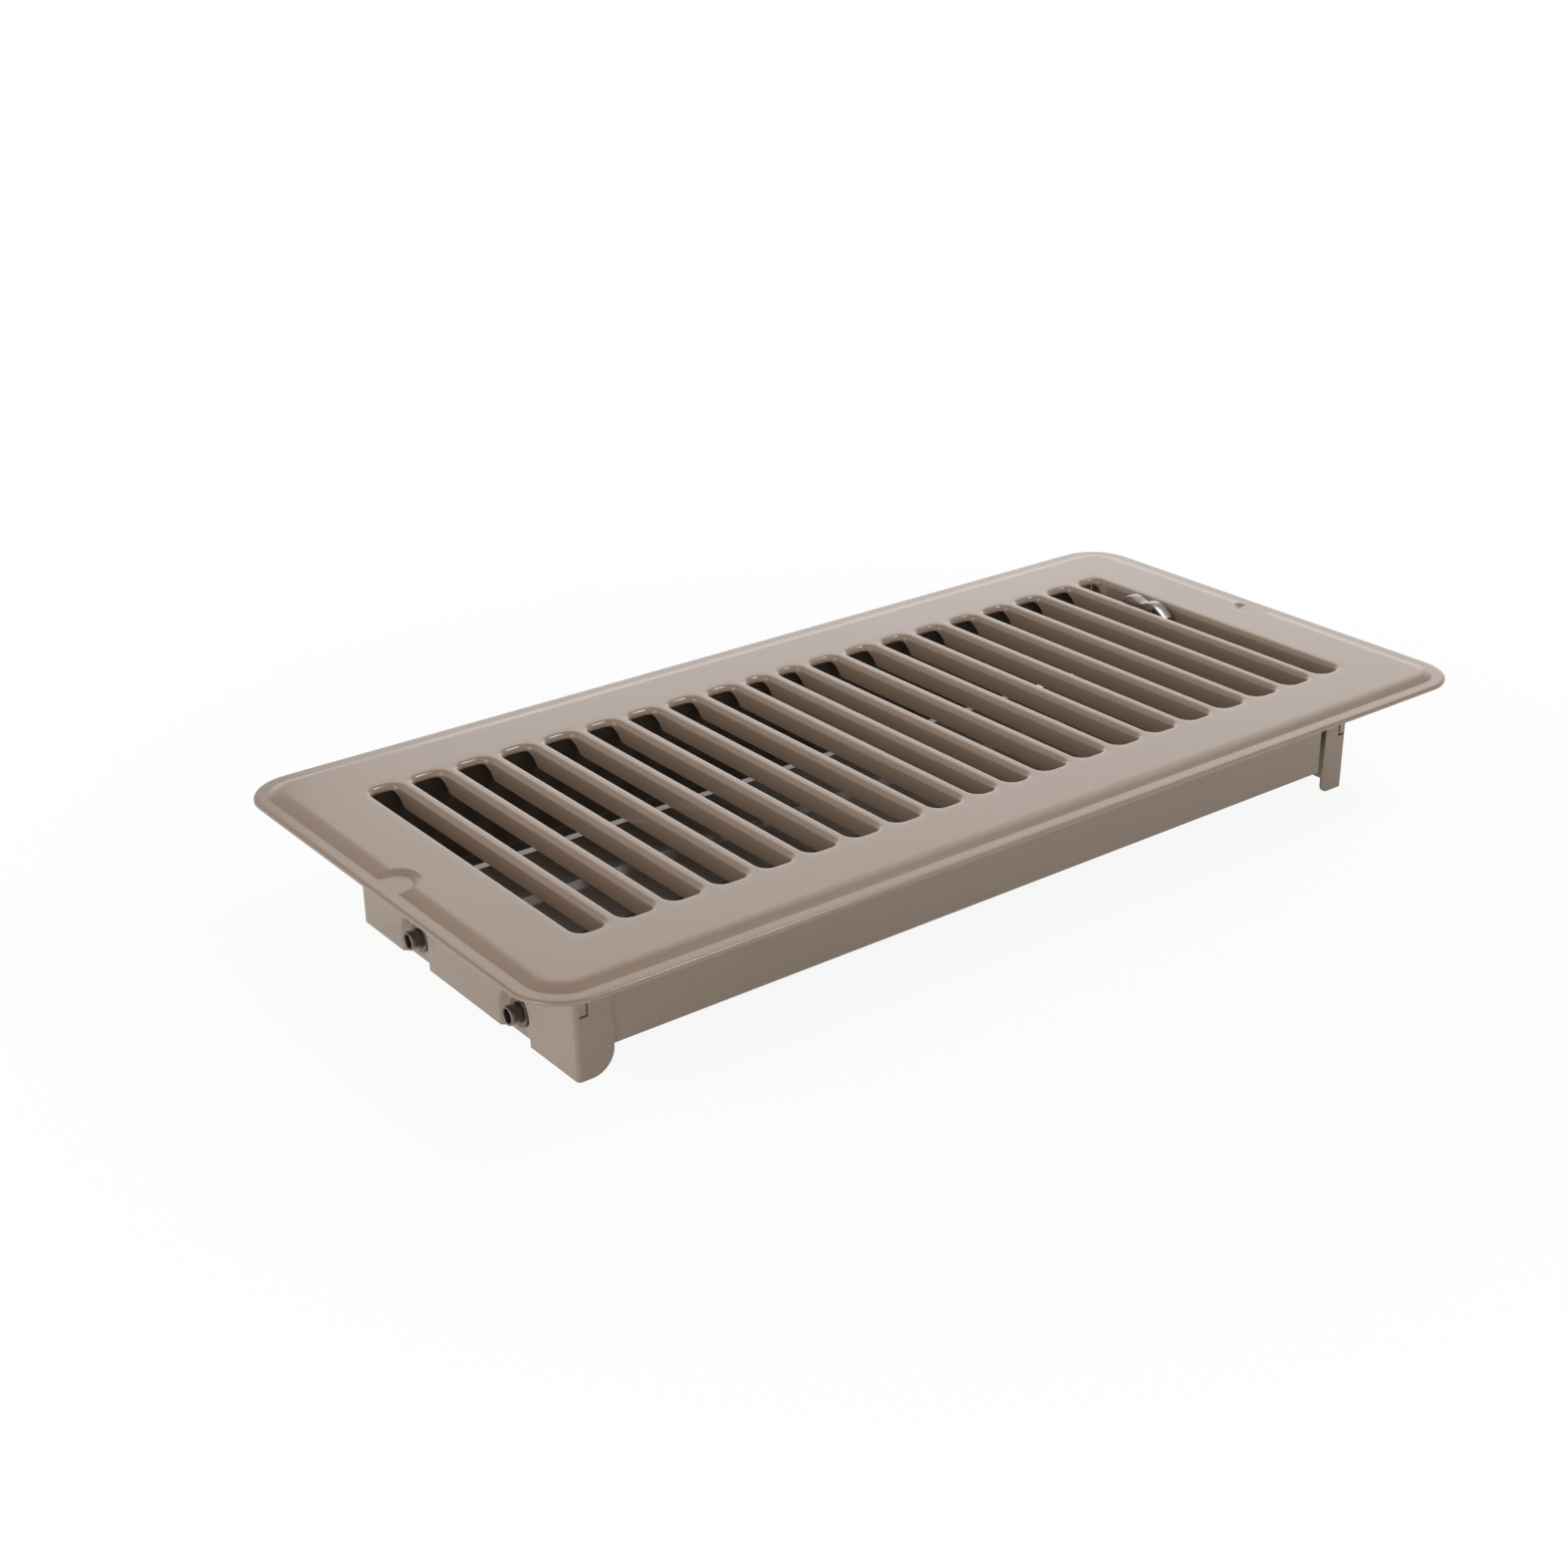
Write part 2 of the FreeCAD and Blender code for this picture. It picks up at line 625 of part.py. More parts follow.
def make_blade(label, side):
    """A damper blade, drawn about its pivot axis: ribbed sheet, hemmed edges and two ears."""
    body = new_body(label)
    half = "Sizes.blade_width / 2"
    sheet_half = "Sizes.blade_sheet / 2"
    hem_start = f"{half} - Sizes.blade_hem"
    hem_bottom = f"-3 * {sheet_half}"
    rib_foot = "Sizes.rib_width / 2"
    rib_head = "Sizes.rib_crown / 2"
    upper = [(rib_head, f"Sizes.rib_height + {sheet_half}"), (rib_foot, sheet_half), (half, sheet_half)]
    lower = [
        (half, hem_bottom),
        (hem_start, hem_bottom),
        (hem_start, f"-{sheet_half}"),
        (rib_foot, f"-{sheet_half}"),
        (rib_head, f"Sizes.rib_height - {sheet_half}"),
    ]
    right = upper + lower
    left = [(f"-({y})", z) for y, z in right[::-1]]
    section = new_sketch(body, "section", "YZ_Plane", "-Sizes.blade_left_end")
    outline(section, right + left)
    pad(body, section, "Sizes.blade_left_end + Sizes.blade_right_end", "sheet")
    notch = new_sketch(body, "end_notches", "XY_Plane", "2 * Sizes.ear_reach")
    lobe = "Sizes.ear_lobe_width / 2"
    ends = (
        ("-Sizes.blade_left_end - Sizes.blade_sheet", "-Sizes.blade_left_end + Sizes.ear_notch"),
        ("Sizes.blade_right_end - Sizes.ear_notch", "Sizes.blade_right_end + Sizes.blade_sheet"),
    )
    for low, high in ends:
        rectangle(notch, low, high, f"-{lobe}", lobe)
    pocket(body, notch, "4 * Sizes.ear_reach", "pivot_notches")
    for word, place in (("left", "-Sizes.blade_left_end"), ("right", EAR_INSIDE)):
        ear = new_sketch(body, f"{word}_ear_outline", "YZ_Plane", place)
        ear_outline(ear)
        pad(body, ear, "Sizes.blade_sheet", f"{word}_ear")
    arm = new_sketch(body, "crank_outline", "YZ_Plane", EAR_INSIDE)
    arm.setExpression("AttachmentOffset.Rotation.Angle", "(90 - Sizes.crank_angle) * 1 deg")
    half_arm = "Sizes.crank_width / 2"
    rounded_rectangle(
        arm, f"-{half_arm}", f"Sizes.crank_radius + {half_arm}", f"-{half_arm}", half_arm,
        f"{half_arm} * Sizes.end_round_share",
    )
    pad(body, arm, "Sizes.blade_sheet", "crank")
    for word, place in (("left", "Sizes.blade_sheet - Sizes.blade_left_end"), ("right", EAR_OUTSIDE)):
        bore = new_sketch(body, f"{word}_pivot_bore", "YZ_Plane", f"{place} + Sizes.blade_sheet")
        circle(bore, "0", "0", "Sizes.pivot_diameter / 2 + Sizes.rivet_clearance")
        pocket(body, bore, "3 * Sizes.blade_sheet", f"{word}_pivot_hole")
    pin = new_sketch(body, "crank_pin_bore", "YZ_Plane", f"{EAR_OUTSIDE} + Sizes.blade_sheet")
    circle(pin, CRANK_OFFSET, CRANK_RISE, "Sizes.crank_pin_diameter / 2 + Sizes.rivet_clearance")
    pocket(body, pin, "3 * Sizes.blade_sheet", "crank_pin_hole")
    body.setExpression("Placement.Base.y", f"{side} * {HALF_SPACING}")
    body.setExpression("Placement.Base.z", "Sizes.pivot_height")
    return body


def make_pivot(label, end, side, ear_face):
    """A tubular rivet: a head inside the blade's ear, and a tube that stands out of the end panel."""
    body = new_body(label)
    tip = f"{RECESS_FLOOR} + Sizes.pivot_stand_out"
    bore = "Sizes.pivot_bore / 2"
    outer = "Sizes.pivot_diameter / 2"
    head = "Sizes.pivot_head_diameter / 2"
    section = new_sketch(body, "section", "XY_Plane")
    outline(section, [
        (f"{ear_face} - Sizes.pivot_head_thickness", bore),
        (tip, bore),
        (tip, outer),
        (ear_face, outer),
        (ear_face, head),
        (f"{ear_face} - Sizes.pivot_head_thickness", head),
    ])
    turned = body.newObject("PartDesign::Revolution", f"{label}_turned")
    turned.Profile = section
    turned.ReferenceAxis = (section, ["H_Axis"])
    turned.Angle = 360
    document.recompute()
    body.Placement = FreeCAD.Placement(
        FreeCAD.Vector(), FreeCAD.Rotation(FreeCAD.Vector(0, 0, 1), 0 if end > 0 else 180)
    )
    body.setExpression("Placement.Base.y", f"{side} * {HALF_SPACING}")
    body.setExpression("Placement.Base.z", "Sizes.pivot_height")
    return body


def new_cylinder(name, radius, start, length, across, up):
    """A cylinder along X, from a start, about an axis at a place in Y and Z."""
    item = document.addObject("Part::Cylinder", name)
    item.setExpression("Radius", radius)
    item.setExpression("Height", length)
    item.Placement = FreeCAD.Placement(
        FreeCAD.Vector(), FreeCAD.Rotation(FreeCAD.Vector(0, 1, 0), 90)
    )
    item.setExpression("Placement.Base.x", start)
    item.setExpression("Placement.Base.y", across)
    item.setExpression("Placement.Base.z", up)
    return item


def make_washer(label, end, side):
    """A washer on the recess's floor, round the pivot."""
    start = RECESS_FLOOR if end > 0 else f"-{RECESS_FLOOR} - Sizes.washer_thickness"
    across = f"{side} * {HALF_SPACING}"
    up = "Sizes.pivot_height"
    thickness = "Sizes.washer_thickness"
    disc = new_cylinder(f"{label}_disc", "Sizes.washer_diameter / 2", start, thickness, across, up)
    bore = new_cylinder(
        f"{label}_bore", "Sizes.pivot_diameter / 2 + Sizes.running_clearance",
        f"{start} - {thickness}", f"3 * {thickness}", across, up,
    )
    washer = document.addObject("Part::Cut", label)
    washer.Base = disc
    washer.Tool = bore
    washer.Label = label
    return washer


def lever_rivet(sign):
    """The place along Y of one of the lever's rivets."""
    return f"(Sizes.lever_rivet_middle {sign} Sizes.lever_rivet_spacing / 2)"


def make_link_bar():
    """The flat bar that joins the two cranks, drawn about its middle."""
    body = new_body("link_bar")
    half = "Sizes.link_width / 2"
    reach = f"{HALF_SPACING} + {half}"
    bar = new_sketch(body, "outline", "YZ_Plane", LINK_INSIDE)
    rounded_rectangle(bar, f"-({reach})", reach, f"-{half}", half, f"{half} * Sizes.end_round_share")
    pad(body, bar, "Sizes.link_sheet", "bar")
    holes = new_sketch(body, "holes", "YZ_Plane", f"{LINK_OUTSIDE} + Sizes.link_sheet")
    for sign in ("-", ""):
        circle(
            holes, f"{sign}{HALF_SPACING}", "0",
            "Sizes.crank_pin_diameter / 2 + Sizes.running_clearance",
        )
    for sign in ("-", "+"):
        circle(
            holes, f"{lever_rivet(sign)} - {CRANK_OFFSET}", "0",
            "Sizes.lever_rivet_diameter / 2 + Sizes.rivet_clearance",
        )
    pocket(body, holes, "3 * Sizes.link_sheet", "bores")
    body.setExpression("Placement.Base.y", CRANK_OFFSET)
    body.setExpression("Placement.Base.z", LINK_HEIGHT)
    return body


def make_lever():
    """The thumb lever: a leg riveted to the link bar, with its top edge folded over and waved."""
    body = new_body("lever")
    half = "Sizes.lever_crest_half"
    crests = [
        (f"Sizes.lever_far_crest + {half}", LEVER_CREST),
        (f"Sizes.lever_far_crest - {half}", LEVER_CREST),
        ("Sizes.lever_dip", f"{LEVER_CREST} - Sizes.lever_dip_drop"),
        (f"Sizes.lever_near_crest + {half}", LEVER_CREST),
        (f"Sizes.lever_near_crest - {half}", LEVER_CREST),
    ]
    far = ("Sizes.lever_far_end", f"{LEVER_CREST} - Sizes.lever_far_drop")
    near_end = ("Sizes.lever_near_end", f"{LEVER_CREST} - Sizes.lever_near_drop")
    upper = [far] + crests + [near_end]
    lower = [(y, f"{z} - Sizes.lever_sheet") for y, z in upper[::-1]]
    wave = new_sketch(body, "wave", "YZ_Plane", LINK_OUTSIDE)
    outline(wave, upper + lower)
    pad(body, wave, "Sizes.lever_width", "thumb_strip")
    leg = new_sketch(body, "leg_outline", "YZ_Plane", LINK_OUTSIDE)
    foot = f"{LINK_HEIGHT} - Sizes.link_width / 2"
    head = [(y, f"{z} - Sizes.lever_sheet / 2") for y, z in crests]
    outline(leg, head + [(crests[-1][0], foot), (crests[0][0], foot)])
    pad(body, leg, "Sizes.lever_sheet", "leg")
    holes = new_sketch(body, "rivet_holes", "YZ_Plane", f"{LINK_OUTSIDE} + 2 * Sizes.lever_sheet")
    for sign in ("-", "+"):
        circle(
            holes, lever_rivet(sign), LINK_HEIGHT,
            "Sizes.lever_rivet_diameter / 2 + Sizes.rivet_clearance",
        )
    pocket(body, holes, "3 * Sizes.lever_sheet", "bores")
    return body


def make_crank_pin(label, side):
    """The rivet that joins a blade's crank to the link bar, loose enough to turn."""
    grip = "(Sizes.blade_sheet + Sizes.link_gap + Sizes.link_sheet + Sizes.pin_end_play)"
    thickness = "Sizes.pin_head_thickness"
    head = "Sizes.crank_pin_head / 2"
    place = (f"{side} * {HALF_SPACING} + {CRANK_OFFSET}", LINK_HEIGHT)
    pin = document.addObject("Part::MultiFuse", label)
    pin.Shapes = [
        new_cylinder(f"{label}_shank", "Sizes.crank_pin_diameter / 2", EAR_INSIDE, grip, *place),
        new_cylinder(f"{label}_inner_head", head, f"{EAR_INSIDE} - {thickness}", thickness, *place),
        new_cylinder(f"{label}_outer_head", head, f"{EAR_INSIDE} + {grip}", thickness, *place),
    ]
    pin.Label = label
    return pin


def make_lever_rivets():
    """The two rivets that hold the lever to the link bar, as one group of separate solids."""
    grip = "(Sizes.link_sheet + Sizes.lever_sheet)"
    thickness = "Sizes.pin_head_thickness"
    rivets = []
    for number, sign in ((1, "-"), (2, "+")):
        place = (lever_rivet(sign), LINK_HEIGHT)
        name = f"lever_rivet_{number}"
        rivet = document.addObject("Part::MultiFuse", name)
        rivet.Shapes = [
            new_cylinder(f"{name}_shank", "Sizes.lever_rivet_diameter / 2", LINK_INSIDE, grip, *place),
            new_cylinder(
                f"{name}_head", "Sizes.lever_rivet_head / 2", f"{LINK_INSIDE} + {grip}", thickness, *place
            ),
        ]
        rivets.append(rivet)
    group = document.addObject("Part::Compound", "lever_rivets")
    group.Links = rivets
    group.Label = "lever_rivets"
    return group


nodes = [
    make_face_plate(),
    make_side_wall("front_side_wall", -1),
    make_side_wall("rear_side_wall", 1),
    make_end_panel("left_end_panel", -1),
    make_end_panel("right_end_panel", 1),
]
for where, sign in (("front", -1), ("rear", 1)):
    nodes.append(make_blade(f"{where}_blade", sign))
    nodes.append(make_pivot(f"{where}_left_pivot", -1, sign, LEFT_EAR_INSIDE))
    nodes.append(make_pivot(f"{where}_right_pivot", 1, sign, EAR_INSIDE))
    nodes.append(make_washer(f"{where}_left_washer", -1, sign))
    nodes.append(make_washer(f"{where}_right_washer", 1, sign))
    nodes.append(make_crank_pin(f"{where}_crank_pin", sign))
nodes += [make_link_bar(), make_lever(), make_lever_rivets()]

document.recompute()
for item in document.Objects:
    if "Invalid" in item.State or "Error" in item.State:
        raise RuntimeError(f"{item.Name} failed: {item.State}")
for node in nodes:
    if node.Shape.isNull() or not node.Shape.isValid():
        raise RuntimeError(f"{node.Label} has no valid shape")

os.makedirs("parts", exist_ok=True)
for node in nodes:
    node.Shape.exportStep(f"parts/{node.Label}.step")
    print(node.Label, len(node.Shape.Solids), round(node.Shape.Volume, 1))
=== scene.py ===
import math

import bmesh
import bpy
import numpy as np
from mathutils import Euler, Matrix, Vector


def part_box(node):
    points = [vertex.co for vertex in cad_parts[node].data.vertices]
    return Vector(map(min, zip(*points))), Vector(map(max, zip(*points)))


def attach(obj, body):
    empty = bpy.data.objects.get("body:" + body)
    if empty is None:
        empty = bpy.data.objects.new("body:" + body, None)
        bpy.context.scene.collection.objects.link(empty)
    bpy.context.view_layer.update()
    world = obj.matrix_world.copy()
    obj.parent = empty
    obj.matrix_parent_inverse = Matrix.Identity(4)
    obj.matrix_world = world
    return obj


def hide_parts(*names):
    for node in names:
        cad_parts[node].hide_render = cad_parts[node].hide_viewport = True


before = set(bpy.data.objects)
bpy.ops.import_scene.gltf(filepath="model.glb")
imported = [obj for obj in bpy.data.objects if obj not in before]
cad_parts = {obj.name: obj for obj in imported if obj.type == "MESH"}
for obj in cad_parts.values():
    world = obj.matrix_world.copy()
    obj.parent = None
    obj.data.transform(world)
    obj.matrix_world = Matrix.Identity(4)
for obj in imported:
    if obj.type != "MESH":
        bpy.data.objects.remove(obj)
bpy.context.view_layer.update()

# ---- View ----
# The register is seen from its near left corner and from above, at the distance at which
# its 290 mm length fills most of a square picture.
camera_data = bpy.data.cameras.new("camera")
camera_data.sensor_width = 36.0
camera_data.lens = 53.57
camera_data.clip_start = 0.01
camera = bpy.data.objects.new("camera", camera_data)
camera.location = (-0.35037, -0.42084, 0.26715)
camera.rotation_euler = Euler([math.radians(turn) for turn in (65.5979, 0.6176, -37.4746)])
bpy.context.scene.collection.objects.link(camera)
bpy.context.scene.camera = camera


# ---- Floor, backdrop and light ----
# A plain pale studio floor without end, a white horizon under a darker ceiling, and five
# soft lamps: right back, overhead, left, upper left and front. The floor looks white, but
# not under and behind the box, where it would glow through the slots.
class Wire:
    """One socket that gives a value, so that shader maths reads as a plain expression."""

    def __init__(self, tree, socket):
        self.tree = tree
        self.socket = socket

    def calculate(self, operation, first, second):
        """Adds a Math node that works on two wires or numbers."""
        node = self.tree.nodes.new("ShaderNodeMath")
        node.operation = operation
        for place, item in zip(node.inputs, (first, second)):
            if isinstance(item, Wire):
                self.tree.links.new(item.socket, place)
            else:
                place.default_value = item
        return Wire(self.tree, node.outputs[0])

    def __add__(self, other):
        return self.calculate("ADD", self, other)

    def __radd__(self, other):
        return self.calculate("ADD", other, self)

    def __sub__(self, other):
        return self.calculate("SUBTRACT", self, other)

    def __rsub__(self, other):
        return self.calculate("SUBTRACT", other, self)

    def __mul__(self, other):
        return self.calculate("MULTIPLY", self, other)

    def __rmul__(self, other):
        return self.calculate("MULTIPLY", other, self)

    def __abs__(self):
        return self.calculate("ABSOLUTE", self, 0.0)

    def larger(self, other):
        return self.calculate("MAXIMUM", self, other)


class Finish:
    """A material, or the world, whose nodes are added one at a time by node()."""

    def __init__(self, owner):
        self.owner = owner
        owner.use_nodes = True
        self.tree = owner.node_tree
        self.tree.nodes.clear()

    def node(self, kind, settings=None, sockets=None, output=0):
        """Adds a node: its settings first, then a value or a link for each named socket."""
        node = self.tree.nodes.new(kind)
        for name, setting in (settings or {}).items():
            if name == "stops":
                ramp = node.color_ramp
                while len(ramp.elements) < len(setting):
                    ramp.elements.new(0.5)
                for element, (place, colour) in zip(ramp.elements, setting):
                    element.position = place
                    element.color = colour
            else:
                setattr(node, name, setting)
        for name, item in (sockets or {}).items():
            place = node.inputs[name]
            if isinstance(item, Wire):
                self.tree.links.new(item.socket, place)
            else:
                place.default_value = item
        return Wire(self.tree, node.outputs[output]) if len(node.outputs) else None


def grey(level):
    """A plain grey, from 0 for black to 1 for white, with its alpha of 1."""
    return (level, level, level, 1.0)


def view_ray(finish):
    """1 for rays that carry a view, straight or by gloss or glass, and 0 for soft light's."""
    straight, by_gloss, by_glass = (
        finish.node("ShaderNodeLightPath", output=f"Is {kind} Ray")
        for kind in ("Camera", "Glossy", "Transmission")
    )
    return straight + by_gloss + by_glass


def beyond_rectangle(finish, place, middle, reach):
    """How far a place lies outside an upright box seen from above, negative inside it.

    It is the larger of |x - middle x| - reach x and |y - middle y| - reach y, in metres."""
    x, y = (
        finish.node("ShaderNodeSeparateXYZ", sockets={"Vector": place}, output=axis) for axis in "XY"
    )
    return (abs(x - middle[0]) - reach[0]).larger(abs(y - middle[1]) - reach[1])


# The floor's look rises from nearly white to full white between two distances from the
# middle. Its patch of plain paint has a middle, half a size and a soft edge. All in metres.
FLOOR_REACH = 6.0
NEARLY_WHITE, NEAR, FAR = 0.92, 0.1, 0.3
PLAIN_MIDDLE, PLAIN_REACH, PLAIN_EDGE = (0.003, 0.022), (0.114, 0.058), 0.022
floor_mesh = bpy.data.meshes.new("floor")
floor_mesh.from_pydata(
    [(x * FLOOR_REACH, y * FLOOR_REACH, 0.0) for x, y in ((-1, -1), (1, -1), (1, 1), (-1, 1))],
    [], [(0, 1, 2, 3)],
)
floor = bpy.data.objects.new("floor", floor_mesh)
bpy.context.scene.collection.objects.link(floor)
floor_finish = Finish(bpy.data.materials.new("pale_floor"))
floor_paint = floor_finish.node("ShaderNodeBsdfPrincipled", sockets={
    "Base Color": grey(0.92), "Roughness": 0.9, "Specular IOR Level": 0.1,
})
floor_white = floor_finish.node(
    "ShaderNodeEmission", sockets={"Color": grey(1.0), "Strength": 1.0},
)
floor_place = floor_finish.node("ShaderNodeTexCoord", output="Object")
from_middle = floor_finish.node(
    "ShaderNodeVectorMath", {"operation": "LENGTH"}, {0: floor_place}, output=1,
)
whiteness = floor_finish.node("ShaderNodeMapRange", {"interpolation_type": "SMOOTHSTEP"}, {
    "Value": from_middle, "From Min": NEAR, "From Max": FAR, "To Min": NEARLY_WHITE, "To Max": 1.0,
})
outside_box = floor_finish.node("ShaderNodeMapRange", {"interpolation_type": "SMOOTHSTEP"}, {
    "Value": beyond_rectangle(floor_finish, floor_place, PLAIN_MIDDLE, PLAIN_REACH),
    "From Min": -PLAIN_EDGE, "From Max": 0.0, "To Min": 0.0, "To Max": 1.0,
})
floor_view = floor_finish.node("ShaderNodeMixShader", sockets={
    0: view_ray(floor_finish) * whiteness * outside_box, 1: floor_paint, 2: floor_white,
})
floor_finish.node("ShaderNodeOutputMaterial", sockets={"Surface": floor_view})
floor.data.materials.append(floor_finish.owner)

SOFT_LIGHT = 0.34
world = Finish(bpy.data.worlds.new("studio"))
bpy.context.scene.world = world.owner
soft_light = world.node(
    "ShaderNodeBackground", sockets={"Color": grey(1.0), "Strength": SOFT_LIGHT},
)
sky_place = world.node("ShaderNodeTexCoord", output="Generated")
climb = world.node("ShaderNodeSeparateXYZ", sockets={"Vector": sky_place}, output="Z")
ceiling = world.node("ShaderNodeValToRGB", {"stops": [
    (0.0, grey(1.0)), (0.22, grey(1.0)), (0.45, grey(0.42)), (0.8, grey(0.1)),
]}, {"Fac": climb})
room_view = world.node("ShaderNodeBackground", sockets={"Color": ceiling, "Strength": 1.0})
sky = world.node("ShaderNodeMixShader", sockets={0: view_ray(world), 1: soft_light, 2: room_view})
world.node("ShaderNodeOutputWorld", sockets={"Surface": sky})

# Each lamp: its place and its width in metres, and its power in watts. All face the middle.
for name, place, width, power in (
    ("back_lamp", (1.3, 1.4, 0.95), 1.6, 6.8),
    ("overhead_lamp", (0.65, -0.25, 1.3), 0.32, 6.0),
    ("left_lamp", (-1.6, -0.3, 0.25), 0.8, 4.5),
    ("upper_left_lamp", (-1.3, -0.2, 0.95), 0.7, 5.0),
    ("front_lamp", (-0.2, -1.7, 0.4), 1.0, 1.5),
):
    lamp_data = bpy.data.lights.new(name, "AREA")
    lamp_data.size = width
    lamp_data.energy = power
    lamp = bpy.data.objects.new(name, lamp_data)
    lamp.location = place
    lamp.rotation_euler = (
        math.atan2(math.hypot(place[0], place[1]), place[2]),
        0.0,
        math.atan2(-place[1], -place[0]) - math.pi / 2,
    )
    bpy.context.scene.collection.objects.link(lamp)


# ---- Face plate ----
# One stamped steel sheet, 0.6 mm thick, in warm taupe satin enamel: a lip rolled down all
# round, a flat strip, a soft slope up to the field, a round-ended notch pressed in at each
# short end, and twenty slots whose edges roll over into turned-down flanges.

# Sizes are in millimetres from the plate's middle, heights from the level of the box's feet.
MM = 0.001
HALF_LENGTH, HALF_WIDTH, PLATE_CORNER = 145.0, 70.0, 13.0
LIP_BOTTOM, STRIP_TOP, FIELD_TOP, SHEET = 33.0, 34.0, 35.0, 0.6
LIP_ROLL, SLOPE_START, SLOPE_RUN = 0.7, 3.5, 4.4
NOTCH_REACH, NOTCH_CORNER, NOTCH_HALF_FLAT, NOTCH_STEP = 9.5, 3.6, 0.4, 1.5
FIELD_EDGE_X, FIELD_EDGE_Y = 124.5, 50.0
FIRST_BAR, BAR_PITCH, HALF_BAR, END_SLOT_WIDTH = 10.8, 12.65, 2.0, 7.5
BAR_CENTRES = np.concatenate(([0.0], FIRST_BAR + BAR_PITCH * np.arange(9)))
SLOT_HALF_LENGTH, SLOT_CORNER, SHOULDER = 46.5, 2.75, 1.5
FLANGE_BOTTOM, FLANGE_EDGE, FLANGE_AT_END = 29.6, 0.1, 0.15
WALL_HALF_LENGTH, WALL_SLANT = 42.6, 3.2
FOUR_CORNERS = np.array([(1, 1), (-1, 1), (-1, -1), (1, -1)])
SAME_POINT, NO_AREA = 1e-7, 1e-8


def ring_of(centres, angles, radius):
    """A closed ring: each point is its corner's centre plus the radius along its own angle."""
    return centres + radius[..., None] * np.stack([np.cos(angles), np.sin(angles)], -1)


def square_share(angles):
    """How far along X a square's outline lies at an angle, from 1 at the right to -1 at the
    left: 2 less the angle's distance from +X in eighths of a turn, held between 1 and -1."""
    wrapped = np.abs((angles + math.pi) % (2 * math.pi) - math.pi)
    return np.clip(2 - wrapped / (math.pi / 4), -1, 1)


def grid_faces(rows, columns, first=0, flip=False):
    """Quads between the rows of a closed band of points, the last column joined to the first.

    Point number = first + row * columns + column. The quads may be flipped to face outwards."""
    row, column = np.meshgrid(np.arange(rows - 1), np.arange(columns), indexing="ij")
    following = (column + 1) % columns
    quads = np.stack([
        row * columns + column, row * columns + following,
        (row + 1) * columns + following, (row + 1) * columns + column,
    ], -1).reshape(-1, 4) + first
    return quads[:, ::-1] if flip else quads


def mesh_piece(name, points, faces, sharp_angle=40.0, closed=False):
    """A mesh object from points in millimetres: doubles merged, smooth but for sharp edges.

    A closed shell also has its normals turned outwards."""
    mesh = bpy.data.meshes.new(name)
    mesh.from_pydata((points * MM).tolist(), [], [tuple(face) for face in faces.tolist()])
    work = bmesh.new()
    work.from_mesh(mesh)
    bmesh.ops.remove_doubles(work, verts=work.verts, dist=SAME_POINT)
    bmesh.ops.dissolve_degenerate(work, edges=work.edges, dist=NO_AREA)
    if closed:
        bmesh.ops.recalc_face_normals(work, faces=work.faces)
    work.to_mesh(mesh)
    work.free()
    mesh.shade_smooth()
    mesh.set_sharp_from_angle(angle=math.radians(sharp_angle))
    piece = bpy.data.objects.new(name, mesh)
    bpy.context.scene.collection.objects.link(piece)
    return piece


